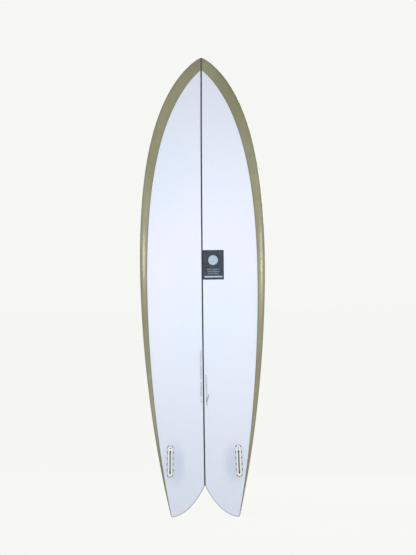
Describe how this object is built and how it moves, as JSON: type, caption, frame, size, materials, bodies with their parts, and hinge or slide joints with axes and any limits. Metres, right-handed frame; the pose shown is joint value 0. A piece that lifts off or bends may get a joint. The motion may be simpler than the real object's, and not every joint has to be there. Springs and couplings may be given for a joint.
{
  "type": "surfboard",
  "caption": "Twin-fin fish surfboard with a pointed nose and a swallow tail, clear bottom, tinted deck and rails, flush fin boxes and a leash plug.",
  "frame": {"origin": "between the two tail tips, on the surface that they stand on, half way through the board's depth", "axes": "+Z runs from the tail to the nose, +Y points out of the deck and -Y out of the bottom, +X is to the right when looking at the bottom"},
  "size_m": [0.5378, 0.1218, 1.9812],
  "materials": {
    "foam": "fine closed-cell foam, sanded",
    "stringer_wood": "dark stained wood",
    "clear_glass_cloth": "clear polished resin over glass cloth",
    "tinted_glass_cloth": "olive-tinted resin, polished",
    "label_paper": "thin printed paper under resin",
    "box_plastic": "white moulded plastic",
    "resin": "cured filler resin",
    "screw_steel": "stainless steel",
    "cup_plastic": "white moulded plastic",
    "pin_steel": "stainless steel"
  },
  "bodies": {
    "board": {"foam_left": "foam", "foam_right": "foam", "stringer": "stringer_wood", "bottom_laminate": "clear_glass_cloth", "deck_laminate": "tinted_glass_cloth", "deck_patch": "clear_glass_cloth", "bottom_label": "label_paper", "fin_box_left": "box_plastic", "fin_box_right": "box_plastic", "fin_box_resin_left": "resin", "fin_box_resin_right": "resin", "leash_plug_cup": "cup_plastic", "leash_plug_pin": "pin_steel", "leash_plug_resin": "resin"},
    "screw_left": {"fin_screw_left": "screw_steel"},
    "screw_right": {"fin_screw_right": "screw_steel"}
  },
  "joints": [
    {"name": "fin_screw_left_turn", "type": "hinge", "parent": "board", "child": "screw_left", "pos_m": [-0.14629, -0.03942, 0.29782], "axis": [-0.0062, -0.8309, 0.5564], "range_deg": [-1800, 450]},
    {"name": "fin_screw_right_turn", "type": "hinge", "parent": "board", "child": "screw_right", "pos_m": [0.14629, -0.03942, 0.29782], "axis": [0.0062, -0.8309, 0.5564], "range_deg": [-1800, 450]}
  ]
}
